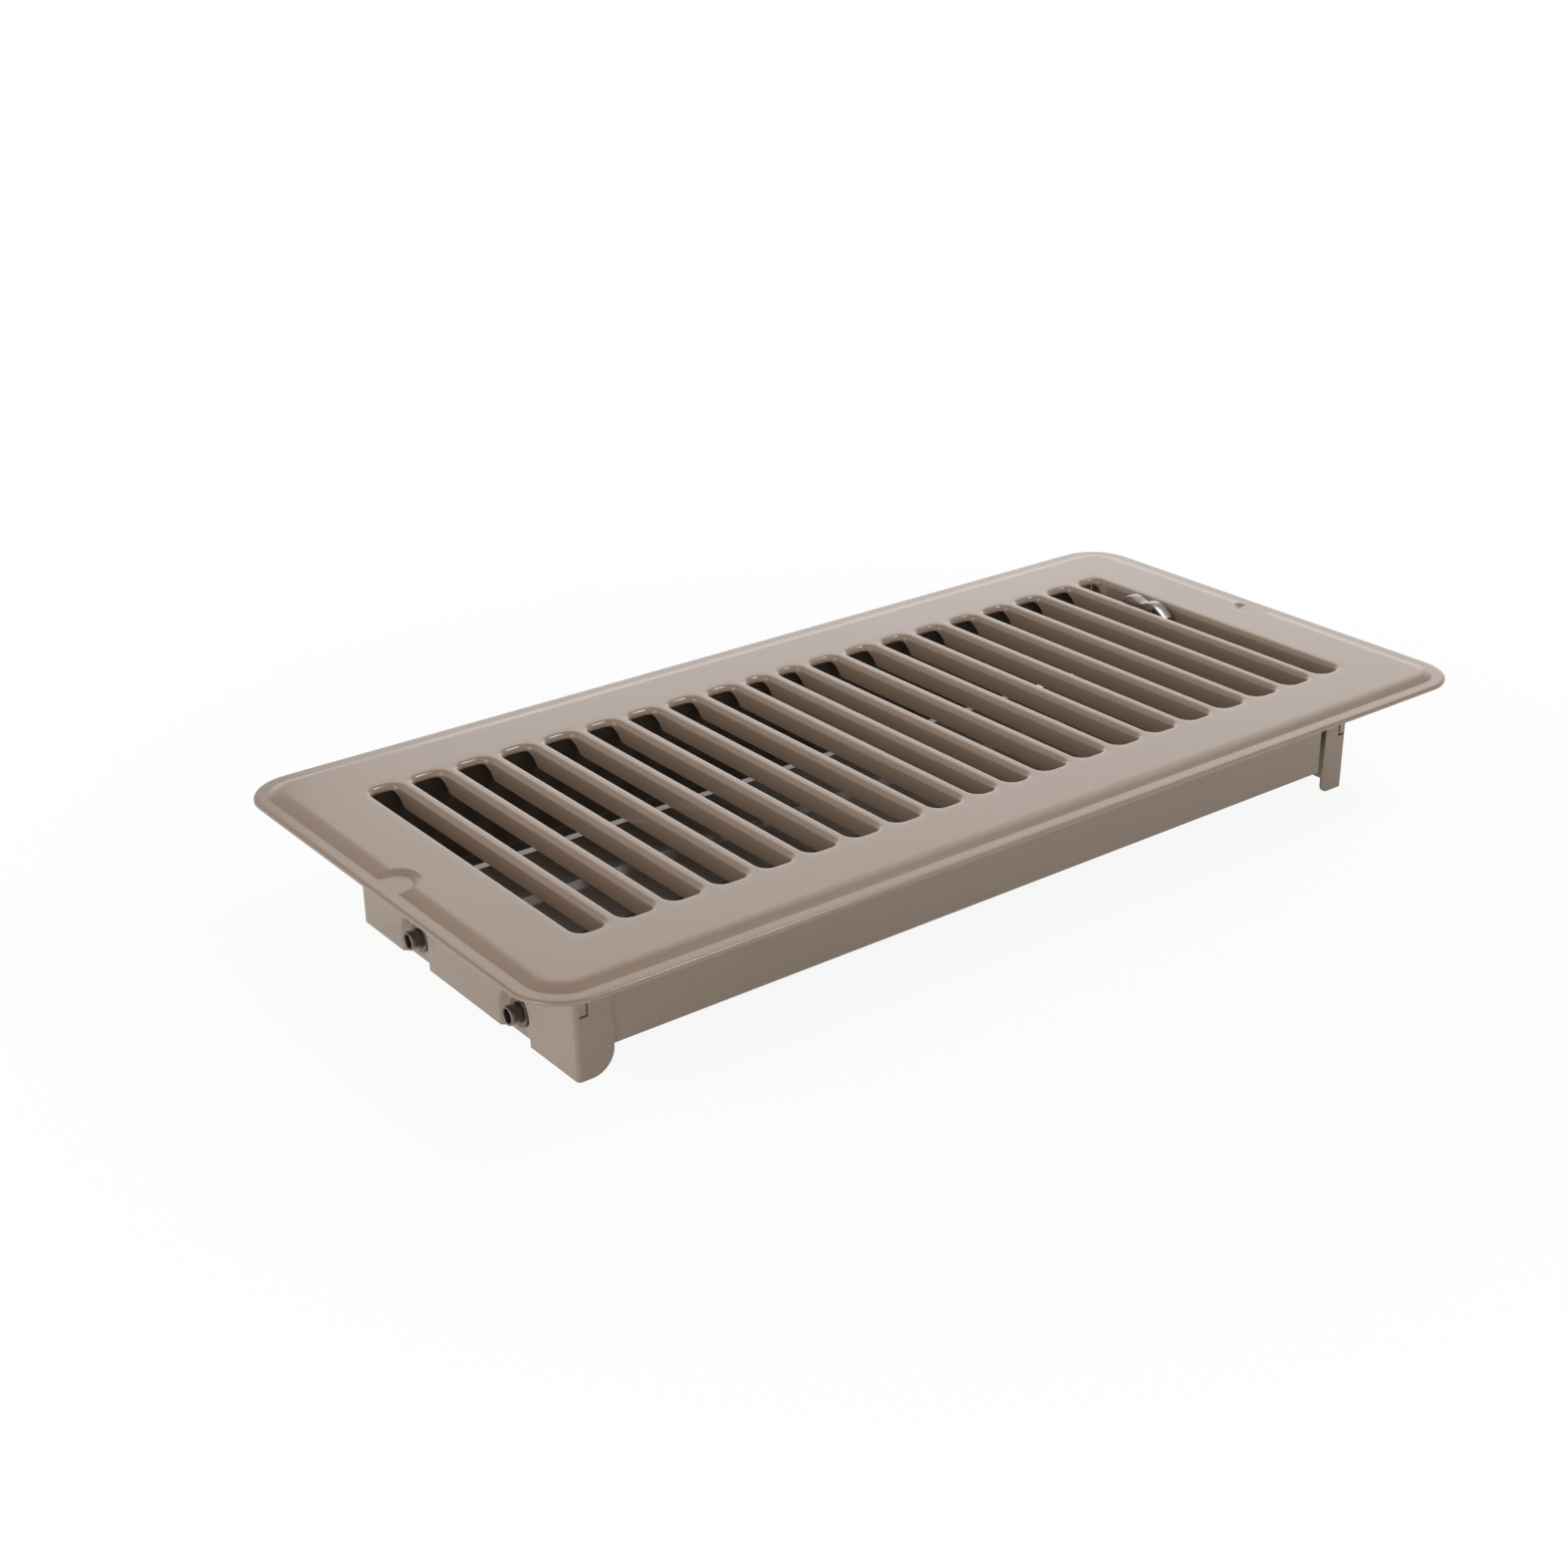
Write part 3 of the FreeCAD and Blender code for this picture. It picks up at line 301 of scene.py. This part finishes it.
def slot_rings():
    """Points of all twenty slots, as rings that follow each slot's rounded outline.

    The rings start on the edge of the flat cell round the slot, go over the quarter-round
    shoulder and down the wall, round its lower edge and back up the hidden side. Each is the
    outline grown by the section's reach at that height. Past WALL_HALF_LENGTH the lower edge
    rises in a straight slant, so that the walls run out before the slot's ends."""
    bars_left, bars_right = BAR_CENTRES - HALF_BAR, BAR_CENTRES + HALF_BAR
    last_slot_end = bars_right[-1] + END_SLOT_WIDTH
    left = np.concatenate((bars_right, -bars_left[1:], [-last_slot_end]))
    right = np.concatenate((bars_left[1:], [last_slot_end], -bars_right))
    cell_left = np.concatenate((BAR_CENTRES, -BAR_CENTRES[1:], [-FIELD_EDGE_X]))
    cell_right = np.concatenate((BAR_CENTRES[1:], [FIELD_EDGE_X], -BAR_CENTRES))

    arc = np.arange(9) / 8
    on_short_side, on_long_side = [0.5], [0.012, 0.03, 0.25, 0.5, 0.75, 0.97, 0.988]
    angles, across, along = [], [], []
    for quarter, (sign_x, sign_y) in enumerate(FOUR_CORNERS):
        next_x, next_y = FOUR_CORNERS[(quarter + 1) % 4]
        shares = np.array(on_long_side if quarter % 2 else on_short_side)
        angles += [(quarter + arc) * math.pi / 2]
        angles += [np.full(len(shares), (quarter + 1) * math.pi / 2)]
        across += [np.full(len(arc), sign_x), sign_x + (next_x - sign_x) * shares]
        along += [np.full(len(arc), sign_y), sign_y + (next_y - sign_y) * shares]
    angles, across, along = (
        np.concatenate(part).astype(float) for part in (angles, across, along)
    )
    middle, reach = (left + right)[:, None] / 2, (right - left)[:, None] / 2 - SLOT_CORNER
    centres = np.stack(np.broadcast_arrays(
        middle + across * reach, along * (SLOT_HALF_LENGTH - SLOT_CORNER)
    ), -1)

    turn = arc * math.pi / 2
    hidden_turn, hidden_radius = turn[::-1][::2], SHOULDER - SHEET
    shoulder_foot = FIELD_TOP - SHOULDER
    section_reach = np.concatenate((
        SHOULDER * (1 - np.sin(turn)),
        [0.0, FLANGE_EDGE, SHEET - FLANGE_EDGE, SHEET],
        SHOULDER - hidden_radius * np.sin(hidden_turn),
    ))
    section_height = np.concatenate((
        [FIELD_TOP],
        FIELD_TOP - SHOULDER * (1 - np.cos(turn)),
        [FLANGE_BOTTOM + FLANGE_EDGE, FLANGE_BOTTOM, FLANGE_BOTTOM, FLANGE_BOTTOM + FLANGE_EDGE],
        shoulder_foot + hidden_radius * np.cos(hidden_turn),
        [FIELD_TOP - SHEET],
    ))
    rings = ring_of(centres[:, None], angles, (SLOT_CORNER + section_reach)[None, :, None])

    share_x, share_y = square_share(angles), square_share(angles - math.pi / 2)
    side_x = np.where(share_x >= 0, cell_right[:, None], cell_left[:, None])
    side_y = np.where(share_y >= 0, FIELD_EDGE_Y, -FIELD_EDGE_Y)
    border = np.stack([
        centres[..., 0] + np.abs(share_x) * (side_x - centres[..., 0]),
        centres[..., 1] + np.abs(share_y) * (side_y - centres[..., 1]),
    ], -1)
    plan = np.concatenate((border[:, None], rings, border[:, None]), 1)
    heights = np.broadcast_to(section_height[None, :, None, None], plan.shape[:3] + (1,)).copy()
    lower_edge = slice(1 + len(turn), 1 + len(turn) + 4)
    past_wall = np.abs(plan[:, lower_edge, :, 1]) - WALL_HALF_LENGTH
    climb = shoulder_foot - FLANGE_AT_END - FLANGE_BOTTOM
    heights[:, lower_edge, :, 0] += np.clip(past_wall / WALL_SLANT, 0.0, 1.0) * climb
    return np.concatenate((plan, heights), -1), border


def plate_outline(slot_border):
    """Once round the plate: the centre and the angle of each point, as ring_of takes them, and
    the nearest point of the slots' border, where the flat field is joined on.

    The points stand opposite the border's own, with more of them beside a notch."""
    rounded = np.round(slot_border.reshape(-1, 2), 6)
    side_y = np.unique(rounded[np.isclose(rounded[:, 0], FIELD_EDGE_X), 1])
    end_x = np.unique(rounded[np.isclose(rounded[:, 1], FIELD_EDGE_Y), 0])
    beside_notch = np.linspace(-7.5, 7.5, 41)
    dense_y = np.unique(np.round(np.concatenate((side_y, beside_notch)), 6))
    nearest_y = side_y[np.abs(dense_y[:, None] - side_y).argmin(1)]
    corner_x, corner_y = HALF_LENGTH - PLATE_CORNER, HALF_WIDTH - PLATE_CORNER
    fan = np.arange(1, 16) / 16 * math.pi / 2
    centres, angles, held = [], [], []
    for quarter, corner in enumerate(FOUR_CORNERS):
        facing = 1 if quarter < 2 else -1
        if quarter % 2 == 0:
            run = np.full(len(dense_y), facing)
            centres.append(np.stack([run * corner_x, facing * dense_y], -1))
            held.append(np.stack([run * FIELD_EDGE_X, facing * nearest_y], -1))
        else:
            run = np.full(len(end_x), facing)
            centres.append(np.stack([-facing * end_x, run * corner_y], -1))
            held.append(np.stack([-facing * end_x, run * FIELD_EDGE_Y], -1))
        angles.append(np.full(len(run), quarter * math.pi / 2))
        centres.append(np.broadcast_to(corner * (corner_x, corner_y), (len(fan), 2)))
        held.append(np.broadcast_to(corner * (FIELD_EDGE_X, FIELD_EDGE_Y), (len(fan), 2)))
        angles.append(quarter * math.pi / 2 + fan)
    return [np.concatenate(part) for part in (centres, angles, held)]


def plate_profile():
    """The plate's section outside the slots: each ring's inset from the plate's edge, its
    height, and how far it lies under the top face.

    It comes in over the field, down the slope, along the strip, over the lip's quarter-round
    roll, round its rim and back underneath. The slope climbs by 1 - (1 - share) ** 2."""
    share = np.arange(13) / 12
    climb = (FIELD_TOP - STRIP_TOP) * (1 - (1 - share) ** 2)
    slope_inset = SLOPE_START + SLOPE_RUN * share
    field_inset = np.linspace(12.0, 8.5, 8)
    field_height = np.full(len(field_inset), FIELD_TOP)
    strip_inset = [3.3, 2.6, 1.6]
    roll = np.arange(7) / 6 * math.pi / 2
    under_strip = STRIP_TOP - SHEET
    rim = np.array([
        (0.0, LIP_BOTTOM + 0.16), (0.08, LIP_BOTTOM + 0.04), (0.22, LIP_BOTTOM),
        (SHEET - 0.2, LIP_BOTTOM), (SHEET - 0.05, LIP_BOTTOM + 0.1), (SHEET, under_strip - 0.1),
        (SHEET + 0.1, under_strip), (1.6, under_strip), (2.6, under_strip),
    ])
    insets = np.concatenate((
        field_inset, slope_inset[::-1], strip_inset, LIP_ROLL - LIP_ROLL * np.sin(roll),
        rim[:, 0], slope_inset, field_inset[::-1],
    ))
    heights = np.concatenate((
        field_height, (STRIP_TOP + climb)[::-1], [STRIP_TOP] * len(strip_inset),
        STRIP_TOP - LIP_ROLL + LIP_ROLL * np.cos(roll),
        rim[:, 1], STRIP_TOP + climb - SHEET, field_height - SHEET,
    ))
    depths = np.zeros(len(insets))
    depths[-len(slope_inset) - len(field_inset):] = SHEET
    return insets[:, None], heights[:, None], depths[:, None]


def notch_height(x, y, full):
    """The strip's level inside a notch, the full height 1.5 mm outside it, a soft step between.

    The notch's floor is a strip 8 mm wide with rounded corners that runs in to 9.5 mm
    from the plate's end; the distance from it sets the height."""
    across = np.maximum(np.abs(y) - NOTCH_HALF_FLAT, 0.0)
    along = np.maximum(HALF_LENGTH - NOTCH_REACH + NOTCH_CORNER - np.abs(x), 0.0)
    share = np.clip((np.hypot(across, along) - NOTCH_CORNER) / NOTCH_STEP, 0.0, 1.0)
    soft = share * share * (3 - 2 * share)
    return STRIP_TOP + (full - STRIP_TOP) * soft


def border_rings(slot_border):
    """Points of the plate round the slots: the outline's rings at the section's insets and
    heights, with the notches pressed into those that lie on the slope and the field."""
    centres, angles, held = plate_outline(slot_border)
    insets, heights, depths = plate_profile()
    rings = ring_of(centres[None], angles[None], PLATE_CORNER - insets)
    levels = np.broadcast_to(heights, rings.shape[:2])
    pressed = notch_height(rings[..., 0], rings[..., 1], levels + depths) - depths
    levels = np.where(insets >= SLOPE_START, pressed, levels)
    rings = np.concatenate((rings, levels[..., None]), -1)
    first = np.concatenate((held, np.full((len(held), 1), FIELD_TOP)), -1)[None]
    return np.concatenate((first, rings, first - (0, 0, SHEET)), 0)


slot_points, slot_border = slot_rings()
border_points = border_rings(slot_border)
slot_rows, slot_columns = slot_points.shape[1:3]
plate_faces = [
    grid_faces(slot_rows, slot_columns, first=number * slot_rows * slot_columns)
    for number in range(len(slot_points))
]
plate_faces.append(
    grid_faces(*border_points.shape[:2], first=slot_points[..., 0].size, flip=True)
)
plate = mesh_piece(
    "face_plate_skin",
    np.concatenate((slot_points.reshape(-1, 3), border_points.reshape(-1, 3))),
    np.concatenate(plate_faces),
)


def noise(finish, place, scale, detail):
    """A cloudy pattern of the given scale, as a number about 0.5."""
    return finish.node("ShaderNodeTexNoise", sockets={
        "Vector": place, "Scale": scale, "Detail": detail,
    })


def toned(colour, strength):
    """A colour times a strength, each part held to 1 at most, with its alpha of 1."""
    return tuple(min(1.0, part * strength) for part in colour) + (1.0,)


def mixed_colour(finish, share, first, second):
    """The first colour where the share is 0, and the second where it is 1."""
    return finish.node(
        "ShaderNodeMix", {"data_type": "RGBA"}, {0: share, 6: first, 7: second}, output=2,
    )


def enamel_finish(name, colour, roughness, inside=None, coat=0.5):
    """Baked satin enamel with a faint orange peel and slight changes of tone.

    Where a box is given, as half its length and half its width in metres, the colour falls
    to about a fifth within it: painted shade for the inner faces, which lie in shadow."""
    finish = Finish(bpy.data.materials.new(name))
    place = finish.node("ShaderNodeTexCoord", output="Object")
    peel = noise(finish, place, 900.0, 2.0)
    flow = noise(finish, place, 26.0, 3.0)
    grain = noise(finish, place, 2600.0, 1.0)
    tone = 0.55 * flow + 0.45 * grain
    paint = mixed_colour(finish, tone, toned(colour, 0.93), toned(colour, 1.07))
    # Painted shade: within the given box the colour is darkened to about a fifth.
    if inside:
        outer = finish.node("ShaderNodeMapRange", sockets={
            "Value": beyond_rectangle(finish, place, (0.0, 0.0), inside),
            "From Min": -0.0001, "From Max": 0.0001, "To Min": 0.0, "To Max": 1.0,
        })
        paint = mixed_colour(finish, outer, toned(colour, 0.22), paint)
    relief = finish.node("ShaderNodeBump", sockets={
        "Height": 0.8 * peel + 0.2 * grain, "Strength": 0.35, "Distance": 0.00006,
    })
    surface = finish.node("ShaderNodeBsdfPrincipled", sockets={
        "Base Color": paint, "Roughness": roughness + 0.10 * flow - 0.05, "Normal": relief,
        "IOR": 1.5, "Coat Weight": coat, "Coat Roughness": 0.12,
    })
    finish.node("ShaderNodeOutputMaterial", sockets={"Surface": surface})
    return finish.owner


plate_enamel = enamel_finish("plate_enamel", (0.330, 0.234, 0.172), roughness=0.34)
plate.data.materials.append(plate_enamel)
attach(plate, "root")
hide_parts("face_plate")


# ---- Box: side walls and end panels ----
# Two folded side walls and two pressed end panels of thin sheet steel, welded under the
# plate, in the same enamel but with less gloss, with painted shade darkening their inner
# faces. The end panels' bends and recesses shade as one smooth sheet.
# Half length and half width in metres of the box within which the enamel carries painted shade.
PAINTED_SHADE_BOX = (0.1215, 0.04765)


def paint_node(name, material):
    """Gives a new material to a node that keeps its own shape."""
    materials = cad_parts[name].data.materials
    materials.clear()
    materials.append(material)


def smoothed_copy(name, body, material, sharp_angle):
    """A node's own mesh with its doubles merged, so that its bends shade as one surface."""
    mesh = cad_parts[name].data.copy()
    work = bmesh.new()
    work.from_mesh(mesh)
    bmesh.ops.remove_doubles(work, verts=work.verts, dist=SAME_POINT)
    work.to_mesh(mesh)
    work.free()
    mesh.materials.clear()
    mesh.materials.append(material)
    mesh.shade_smooth()
    mesh.set_sharp_from_angle(angle=math.radians(sharp_angle))
    copy = bpy.data.objects.new(f"{name}_smooth", mesh)
    bpy.context.scene.collection.objects.link(copy)
    even = copy.modifiers.new("even_normals", "WEIGHTED_NORMAL")
    even.keep_sharp = True
    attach(copy, body)
    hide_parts(name)
    return copy


box_enamel = enamel_finish(
    "box_enamel", (0.345, 0.257, 0.187), roughness=0.42, inside=PAINTED_SHADE_BOX,
)
for name in ("front_side_wall", "rear_side_wall"):
    paint_node(name, box_enamel)
for name in ("left_end_panel", "right_end_panel"):
    panel = smoothed_copy(name, "root", box_enamel, sharp_angle=35.0)


# ---- Damper blades ----
# Two long blades folded from one sheet each, with a pressed rib and hemmed edges, in the
# same enamel, its colour painted dark as shade within the box. Each turns on a pivot at either end.
# Painted shade: the blades' enamel colour is made dark and dull because they lie in the box's
# shadow.
blade_painted_shade_enamel = enamel_finish("blade_painted_shade_enamel", (0.11, 0.080, 0.060), roughness=0.5, coat=0.1)
for name in ("front_blade", "rear_blade"):
    paint_node(name, blade_painted_shade_enamel)


# ---- Pivots and washers ----
# Hollow steel pivots, dull and dark, turned with a rolled rim, two grooves and a flat head,
# one at each end of a blade. Each goes through a dark steel washer on its recess's floor.
PIVOT_HEIGHT, HALF_PIVOT_SPACING = 5.7, 22.5
PIVOT_BORE, PIVOT_OUTSIDE, RIM = 1.7, 2.4, 0.35
PIVOT_HEAD, HEAD_THICKNESS, HEAD_EDGE = 3.4, 0.5, 0.15
GROOVE_PLACES, GROOVE_STEP, GROOVE_DEPTH = (1.0, 1.75), 0.12, 0.22
WASHER_BORE, WASHER_OUTSIDE, WASHER_EDGE = 2.46, 3.7, 0.16
EVEN_GRAIN = (1.0, 1.0, 1.0)


def bare_steel(name, colour, roughness, streak):
    """Bare steel: fine scratches, cloudy oxide and a roughness that follows both.

    The streak is the pattern's scale along X, Y and Z, small along the scratches."""
    finish = Finish(bpy.data.materials.new(name))
    place = finish.node("ShaderNodeTexCoord", output="Object")
    drawn = finish.node("ShaderNodeMapping", sockets={"Vector": place, "Scale": streak})
    scratch = noise(finish, drawn, 1400.0, 3.0)
    cloud = noise(finish, place, 260.0, 4.0)
    tone = 0.5 * cloud + 0.5 * scratch
    metal = mixed_colour(finish, tone, toned(colour, 0.75), toned(colour, 1.2))
    relief = finish.node("ShaderNodeBump", sockets={
        "Height": scratch, "Strength": 0.3, "Distance": 0.00003,
    })
    surface = finish.node("ShaderNodeBsdfPrincipled", sockets={
        "Base Color": metal, "Metallic": 1.0, "Roughness": roughness + 0.2 * cloud - 0.1,
        "Normal": relief,
    })
    finish.node("ShaderNodeOutputMaterial", sockets={"Surface": surface})
    return finish.owner


def lathe(name, loop, centre, facing, material):
    """A closed loop of (place along the axis, radius) turned about an axis along X.

    Each point is (facing * place, centre y + radius * cos a, centre z + radius * sin a)."""
    steps = 48
    turn = np.arange(steps) / steps * 2 * math.pi
    ring = np.array(loop + loop[:1], float)
    place, radius = ring[:, :1], ring[:, 1:]
    points = np.stack(np.broadcast_arrays(
        facing * place, centre[0] + radius * np.cos(turn), centre[1] + radius * np.sin(turn)
    ), -1).reshape(-1, 3)
    faces = grid_faces(len(ring), steps)
    piece = mesh_piece(name, points, faces, sharp_angle=50.0, closed=True)
    piece.data.materials.append(material)
    return piece


def arc_loop(place, radius, size, first, last):
    """Points on a small arc about (place, radius), between two angles in degrees: each is
    (place + size * cos a, radius + size * sin a)."""
    turn = np.radians(np.linspace(first, last, 7))
    return list(zip(place + size * np.cos(turn), radius + size * np.sin(turn)))


def pivot_loop(start, tip):
    """A pivot's section from its head to its tip: the bore, the rolled rim as a half circle,
    the two grooves, the outside and the head's rounded edge."""
    neck = start + HEAD_THICKNESS
    grooves = [
        (tip - at - GROOVE_STEP * step, PIVOT_OUTSIDE - GROOVE_DEPTH * deep)
        for at in GROOVE_PLACES for step, deep in ((0, 0), (1, 1), (2, 1), (3, 0))
    ]
    return (
        [(start, PIVOT_BORE)] + arc_loop(tip - RIM, PIVOT_BORE + RIM, RIM, -90, 90)
        + grooves + [(neck, PIVOT_OUTSIDE)]
        + arc_loop(neck - HEAD_EDGE, PIVOT_HEAD - HEAD_EDGE, HEAD_EDGE, 0, 90)
        + [(start, PIVOT_HEAD)]
    )


def washer_loop(seat, face):
    """A washer's section: its face, the face's rounded outer edge, a faint waist, and its seat
    with a broken edge."""
    return (
        [(face, WASHER_BORE)]
        + arc_loop(face - WASHER_EDGE, WASHER_OUTSIDE - WASHER_EDGE, WASHER_EDGE, 0, 90)
        + [(face - 2 * WASHER_EDGE, WASHER_OUTSIDE - 0.02), (seat + 0.2, WASHER_OUTSIDE)]
        + [(seat, WASHER_OUTSIDE - 0.1), (seat, WASHER_BORE)]
    )


def span_along(corners):
    """How far from the middle a node's box starts and ends along X, in millimetres."""
    spans = np.abs(np.array(corners)[:, 0] / MM)
    return spans.min(), spans.max()


pivot_steel = bare_steel("pivot_steel", (0.20, 0.165, 0.14), 0.36, streak=EVEN_GRAIN)
washer_steel = bare_steel("washer_steel", (0.15, 0.125, 0.105), 0.40, streak=EVEN_GRAIN)
for side, blade, across in (
    ("front", "front_blade", -HALF_PIVOT_SPACING), ("rear", "rear_blade", HALF_PIVOT_SPACING),
):
    for end, facing in (("left", -1), ("right", 1)):
        tube = lathe(
            f"{side}_{end}_pivot_turned",
            pivot_loop(*span_along(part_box(f"{side}_{end}_pivot"))),
            (across, PIVOT_HEIGHT), facing, pivot_steel,
        )
        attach(tube, blade)
        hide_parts(f"{side}_{end}_pivot")
        ring = lathe(
            f"{side}_{end}_washer_turned",
            washer_loop(*span_along(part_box(f"{side}_{end}_washer"))),
            (across, PIVOT_HEIGHT), facing, washer_steel,
        )
        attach(ring, "root")
        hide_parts(f"{side}_{end}_washer")


# ---- Linkage ----
# A flat bar joins the two blades' cranks through shouldered rivets, so that both blades
# turn together, and two more rivets hold the lever on it. Bright zinc-plated steel.
DRAWN_ALONG_Y = (1.0, 0.08, 1.0)
zinc = bare_steel("zinc_plate", (0.50, 0.475, 0.445), 0.34, streak=DRAWN_ALONG_Y)
for name, body in (
    ("link_bar", "link"), ("lever_rivets", "link"),
    ("front_crank_pin", "front_blade"), ("rear_crank_pin", "rear_blade"),
):
    part = smoothed_copy(name, body, zinc, sharp_angle=40.0)


# ---- Thumb lever ----
# A strip of satin steel sheet, folded over at the top and pressed into two crests for the
# thumb, pointed at its far end. Its leg goes down through the last slot to the link bar.
LEVER_SHEET, LEVER_WIDTH, LEVER_FOOT = 0.8, 3.4, 12.1
LEG_FRONT, LEG_REAR, LEG_BELOW_STRIP = 17.3, 27.7, 0.1
POINT_LENGTH, POINT_SHARE = 3.5, 0.25
CREST_LINE = np.array([
    (31.0, 32.9), (29.3, 34.4), (27.2, 35.62), (25.4, 35.62), (22.2, 34.8),
    (19.6, 35.62), (17.6, 35.6), (15.0, 34.3), (12.6, 32.6),
])


def smooth_through(points, steps):
    """A smooth line through the points. Each span is a cubic whose slope at a point is half
    the way from the point before it to the point after it."""
    padded = np.concatenate((
        2 * points[:1] - points[1:2], points, 2 * points[-1:] - points[-2:-1],
    ))
    share = (np.arange(steps) / steps)[None, :, None]
    spans = len(padded) - 3
    before, here, after, later = (padded[first:spans + first, None] for first in range(4))
    return 0.5 * (
        2 * here + (after - before) * share
        + (2 * before - 5 * here + 4 * after - later) * share ** 2
        + (3 * here - before - 3 * after + later) * share ** 3
    ).reshape(-1, 2)


def rounded_section(half_width, half_thickness, corner):
    """A rectangle's outline with each corner cut to three points, as (across, out) pairs: the
    corner's centre plus its radius at 0, 45 and 90 degrees of its own quarter."""
    turn = np.radians([quarter * 90 + step for quarter in range(4) for step in (0, 45, 90)])
    middle = np.repeat(FOUR_CORNERS, 3, 0)
    return (
        middle[:, 0] * (half_width - corner) + corner * np.cos(turn),
        middle[:, 1] * (half_thickness - corner) + corner * np.sin(turn),
    )


def swept_piece(name, sections, material):
    """A closed sweep: rows of one section loop, each end closed by drawing it to its middle."""
    ends = [np.broadcast_to(row.mean(0), row.shape) for row in (sections[0], sections[-1])]
    points = np.concatenate((ends[0][None], sections, ends[1][None]))
    faces = grid_faces(*points.shape[:2])
    piece = mesh_piece(name, points.reshape(-1, 3), faces, sharp_angle=50.0, closed=True)
    piece.data.materials.append(material)
    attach(piece, "link")
    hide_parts("lever")


lever_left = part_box("lever")[0][0] / MM
lever_steel = bare_steel(
    "satin_lever_steel", (0.43, 0.392, 0.358), 0.36, streak=DRAWN_ALONG_Y,
)
strip_line = smooth_through(CREST_LINE, 10)
strip_y, strip_z = strip_line[:, :1], strip_line[:, 1:]
heading = np.gradient(strip_line, axis=0)
heading /= np.linalg.norm(heading, axis=1, keepdims=True)
across, out = rounded_section(LEVER_WIDTH / 2, LEVER_SHEET / 2, 0.18)
to_point = np.clip((CREST_LINE[0, 0] - strip_y) / POINT_LENGTH, 0.0, 1.0)
narrowing = to_point ** 0.7 * (1 - POINT_SHARE) + POINT_SHARE
swept_piece("lever_thumb_strip", np.stack([
    lever_left + LEVER_WIDTH / 2 + narrowing * across,
    strip_y + heading[:, 1:] * out,
    strip_z - heading[:, :1] * out,
], -1), lever_steel)

# The leg's section is made one unit high, then stretched between its foot and the strip.
in_leg = (strip_line[:, 0] > LEG_FRONT) & (strip_line[:, 0] < LEG_REAR)
leg_top = strip_z[in_leg] - LEG_BELOW_STRIP
leg_middle = (leg_top + LEVER_FOOT) / 2
across, out = rounded_section(LEVER_SHEET / 2, 0.5, 0.15)
swept_piece("lever_leg", np.stack(np.broadcast_arrays(
    lever_left + LEVER_SHEET / 2 + across,
    strip_y[in_leg],
    leg_middle + out * 2 * (leg_top - leg_middle),
), -1), lever_steel)


# ---- Picture settings ---- The colours are shown as they are written.
view = bpy.context.scene.view_settings
view.view_transform = "Standard"
